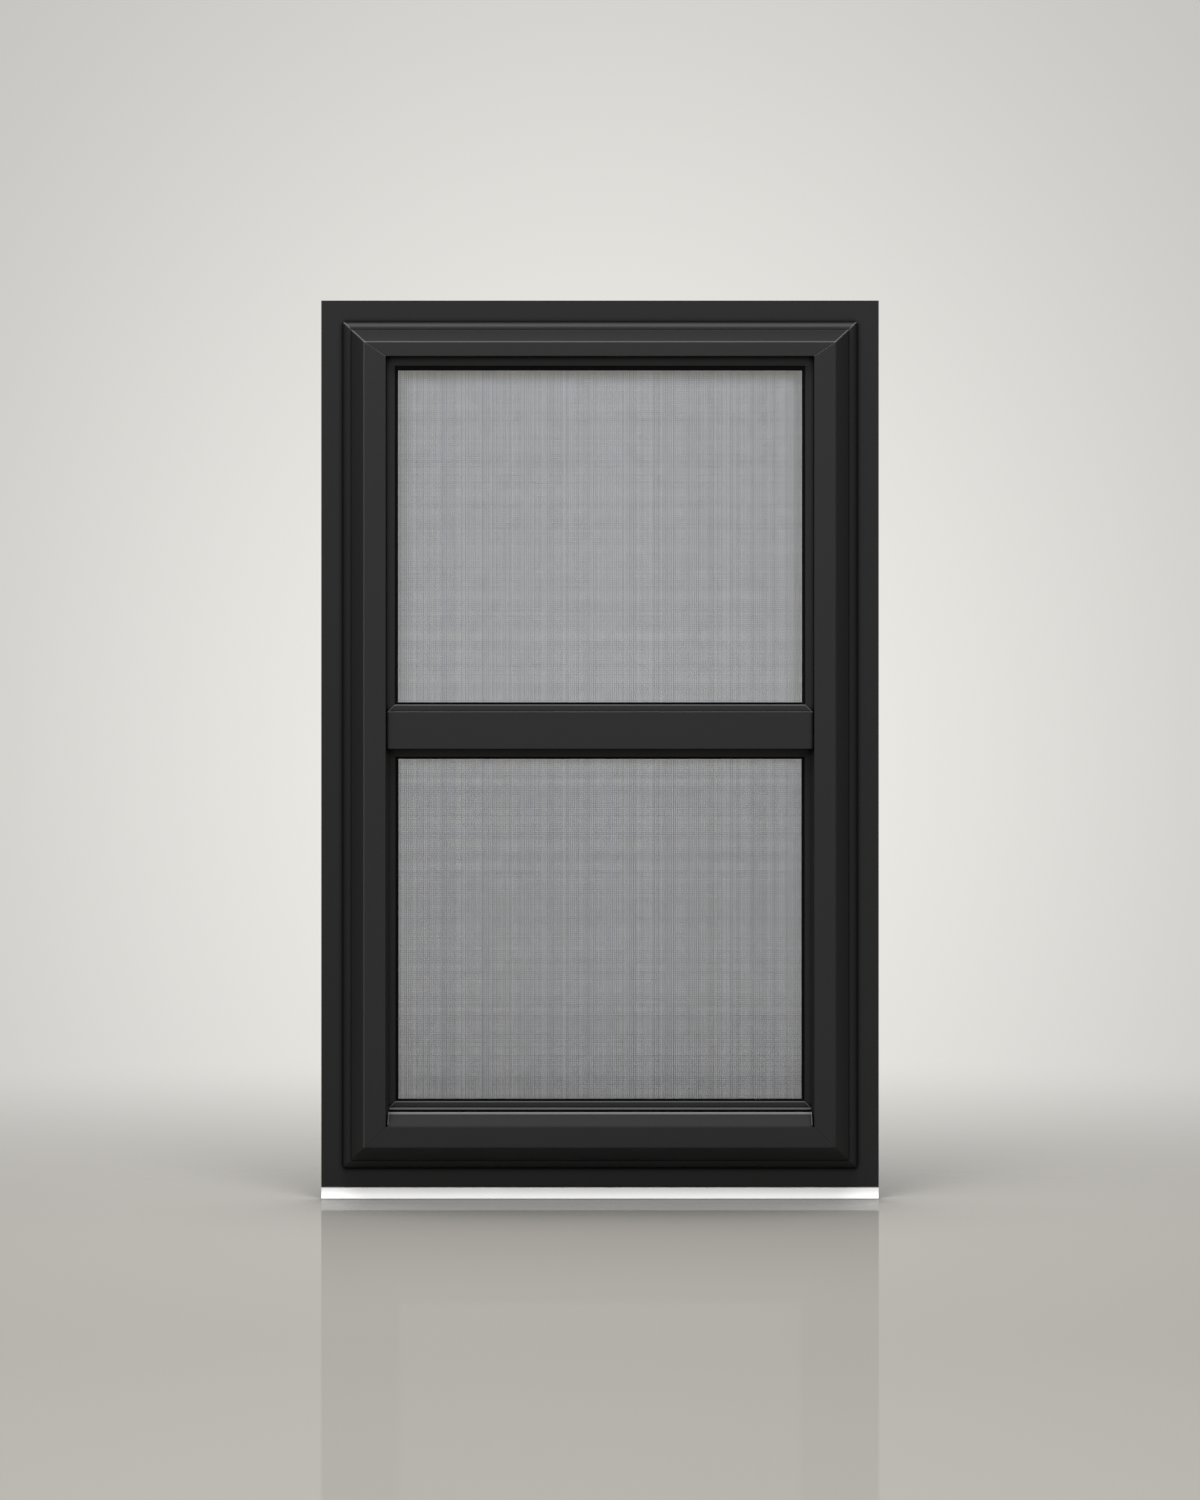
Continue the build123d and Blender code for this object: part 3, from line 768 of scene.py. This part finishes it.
class STORM_OT_set_studio(Operator):
    """Sets the floor, the backdrop, the lamps and the camera"""

    bl_idname = "storm.set_studio"
    bl_label = "Set Studio"

    def execute(self, context):
        studio = context.scene.storm_studio
        self.lay_floor(context, studio)
        self.paint_world(context, studio)
        self.hang_lamps(context, studio)
        self.aim_camera(context, studio)
        context.scene.view_settings.view_transform = "Standard"
        return {"FINISHED"}

    def lay_floor(self, context, studio):
        """A pale floor under the expander, with a painted shadow at the window's foot, which fades into the
        backdrop far away.
        """
        level = cad_box[0].z
        reach = 40.0
        ground = ((-reach, -reach), (reach, -reach), (reach, reach), (-reach, reach))
        corners = [(x, y, level) for x, y in ground]
        mesh = bpy.data.meshes.new("studio_floor")
        mesh.from_pydata(corners, [], [(0, 1, 2, 3)])
        floor = bpy.data.objects.new("studio_floor", mesh)
        context.scene.collection.objects.link(floor)
        material, nodes = new_material("Studio floor")
        place = nodes.object_place()
        middle = {0: place, 1: (0.0, -0.9, level)}
        distance = nodes.add("ShaderNodeVectorMath", {"operation": "DISTANCE"}, middle, "Value")
        far = nodes.remap(distance, 0.6, 2.6)
        # Painted shadow: the floor darkens near the window's foot, most within the foot reach, and is
        # painted slightly darker towards the front as a falloff of the light.
        out_of_contact_shadow = nodes.remap(nodes.occlusion(studio.contact_reach), 0.45, 1.0)
        out_of_foot_shadow = nodes.remap(nodes.occlusion(studio.foot_reach), 0.5, 1.0)
        forward = nodes.add("ShaderNodeSeparateXYZ", None, {0: place})["Y"]
        darker_to_front = nodes.remap(forward, -1.0, -0.2, 0.82, 1.0)
        polish = nodes.remap(forward, -0.80, -0.05, studio.floor_mirror, studio.foot_mirror)
        tone = nodes.blend(
            out_of_contact_shadow * (0.55 + out_of_foot_shadow * 0.45) * darker_to_front,
            tint(studio.floor_colour, 0.2),
            tint(studio.floor_colour, 1.0),
        )
        matt = nodes.add("ShaderNodeBsdfDiffuse", None, {"Color": tone})
        mirror = nodes.add("ShaderNodeBsdfGlossy", None, {"Roughness": 0.03})
        near = nodes.add("ShaderNodeMixShader", None, {0: polish, 1: matt, 2: mirror})
        lit_yarn = nodes.add("ShaderNodeBsdfTransparent")
        shader = nodes.add("ShaderNodeMixShader", None, {0: far, 1: near, 2: lit_yarn})
        nodes.add("ShaderNodeOutputMaterial", None, {"Surface": shader})
        mesh.materials.append(material)

    def paint_world(self, context, studio):
        """A pale backdrop all round, with a dimmer room that lights the window."""
        world = bpy.data.worlds.new("Studio room")
        world.use_nodes = True
        world.node_tree.nodes.clear()
        nodes = NodeMaker(world.node_tree)
        paths = nodes.add("ShaderNodeLightPath")
        seen = paths["Is Camera Ray"] + paths["Is Glossy Ray"] + paths["Is Transmission Ray"]
        direction = nodes.add("ShaderNodeTexCoord", None, None, "Generated")
        oval = {0: direction, 1: (1.25, 0.0, 1.0)}
        stretched = nodes.add("ShaderNodeVectorMath", {"operation": "MULTIPLY"}, oval)
        outward = nodes.add("ShaderNodeVectorMath", {"operation": "LENGTH"}, {0: stretched}, "Value")
        backdrop_colour = studio.backdrop_colour
        dusk = nodes.remap(outward, 0.0, 0.38)
        glow = nodes.blend(dusk, tint(backdrop_colour, 1.0), tint(backdrop_colour, 0.62))
        dim = 1.0 - paths["Is Glossy Ray"] * nodes.remap(outward, 0.25, 0.8, 0.0, 0.85)
        axes = nodes.add("ShaderNodeSeparateXYZ", None, {0: direction})
        ceiling = nodes.remap(axes["Z"], -0.2, 0.9, 0.02, studio.room_light)
        low_down = nodes.remap(axes["Z"], 0.55, 0.15)
        behind = nodes.remap(axes["Y"], 0.0, 0.8, 0.0, studio.rear_light) * low_down
        warm = (1.0, 0.985, 0.96, 1.0)
        room = nodes.add("ShaderNodeBackground", None, {"Color": warm, "Strength": ceiling + behind})
        backdrop = nodes.add("ShaderNodeBackground", None, {"Color": glow, "Strength": dim})
        shader = nodes.add("ShaderNodeMixShader", None, {0: seen, 1: room, 2: backdrop})
        nodes.add("ShaderNodeOutputWorld", None, {"Surface": shader})
        context.scene.world = world

    def hang_lamps(self, context, studio):
        """Two softboxes in front of the window and one above it."""
        middle, upper = (0.0, 0.0, 0.45), (0.0, 0.0, 0.5)
        for name, place, target, size, power in (
            ("left_softbox", (-1.3, -2.8, 2.0), middle, (1.4, 1.4), studio.left_power),
            ("right_softbox", (1.3, -2.8, 1.9), middle, (1.4, 1.4), studio.right_power),
            ("top_softbox", (-0.2, -0.9, 2.8), upper, (1.8, 1.2), studio.top_power),
        ):
            self.hang_softbox(context, name, place, target, size, power)

    def hang_softbox(self, context, name, place, target, size, power):
        """A rectangular lamp at a place, aimed at a target. It doesn't show in mirrors."""
        lamp = bpy.data.lights.new(name, "AREA")
        lamp.shape = "RECTANGLE"
        lamp.size, lamp.size_y = size
        lamp.energy = power
        holder = bpy.data.objects.new(name, lamp)
        holder.location = place
        holder.visible_glossy = False
        holder.rotation_euler = (Vector(target) - Vector(place)).to_track_quat("-Z", "Y").to_euler()
        context.scene.collection.objects.link(holder)

    def aim_camera(self, context, studio):
        """A level camera straight in front of the window."""
        lens = bpy.data.cameras.new("front_camera")
        lens.sensor_width = 36.0
        lens.lens = lens.sensor_width * studio.camera_distance / studio.view_height
        camera = bpy.data.objects.new("front_camera", lens)
        flange_front = 0.0045
        camera.location = (0.0, -studio.camera_distance - flange_front, studio.camera_height)
        camera.rotation_euler = (radians(90.0), 0.0, 0.0)
        context.scene.collection.objects.link(camera)
        context.scene.camera = camera


OPERATORS = (STORM_OT_coat_metal, STORM_OT_glaze_sashes, STORM_OT_weave_screen, STORM_OT_set_studio)


class STORM_PT_sidebar(Panel):
    """Lists the finishing steps of the storm window"""

    bl_idname = "STORM_PT_sidebar"
    bl_label = "Storm Window"
    bl_space_type = "VIEW_3D"
    bl_region_type = "UI"
    bl_category = "Storm Window"

    def draw(self, context):
        for operator in OPERATORS:
            self.layout.operator(operator.bl_idname)
        for setting in SETTINGS:
            group = getattr(context.scene, setting)
            column = self.layout.column(align=True)
            for name in type(group).__annotations__:
                column.prop(group, name)


SETTINGS = {"storm_finish": FrameFinish, "storm_cloth": ScreenCloth, "storm_studio": Studio}


def register():
    for group in SETTINGS.values():
        bpy.utils.register_class(group)
    for name, group in SETTINGS.items():
        setattr(bpy.types.Scene, name, PointerProperty(type=group))
    for operator in OPERATORS:
        bpy.utils.register_class(operator)
    bpy.utils.register_class(STORM_PT_sidebar)


def unregister():
    bpy.utils.unregister_class(STORM_PT_sidebar)
    for operator in reversed(OPERATORS):
        bpy.utils.unregister_class(operator)
    for name in SETTINGS:
        delattr(bpy.types.Scene, name)
    for group in SETTINGS.values():
        bpy.utils.unregister_class(group)


def main():
    register()
    bpy.ops.storm.coat_metal()
    bpy.ops.storm.glaze_sashes()
    bpy.ops.storm.weave_screen()
    bpy.ops.storm.set_studio()


if __name__ == "__main__":
    main()
